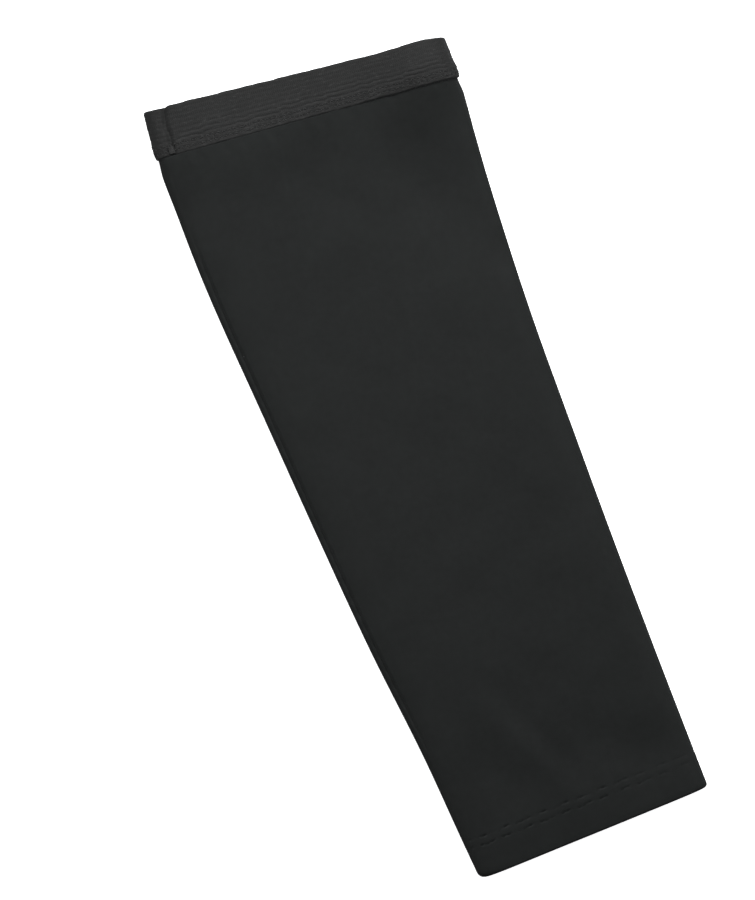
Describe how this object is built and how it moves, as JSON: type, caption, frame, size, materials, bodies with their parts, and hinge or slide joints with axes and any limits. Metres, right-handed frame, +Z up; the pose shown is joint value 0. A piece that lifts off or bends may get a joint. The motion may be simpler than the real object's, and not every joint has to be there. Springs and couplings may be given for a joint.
{
  "type": "calf compression sleeve",
  "caption": "Tapered knit calf sleeve lying flat, open at both ends, with a turned-up hem at the ankle and a ribbed elastic band round the top.",
  "frame": {"origin": "middle of the lying sleeve's outline, on the surface that it lies on", "axes": "+Y along the sleeve from the ankle hem to the elastic band, +Z up from the surface, +X to the right seen from above with the band away from the viewer"},
  "size_m": [0.1355, 0.3598, 0.013],
  "materials": {
    "knit": "matte black stretch knit with a faint sheen",
    "elastic": "charcoal ribbed woven elastic"
  },
  "bodies": {
    "root": {"sleeve_body": "knit", "elastic_band": "elastic"}
  },
  "joints": []
}
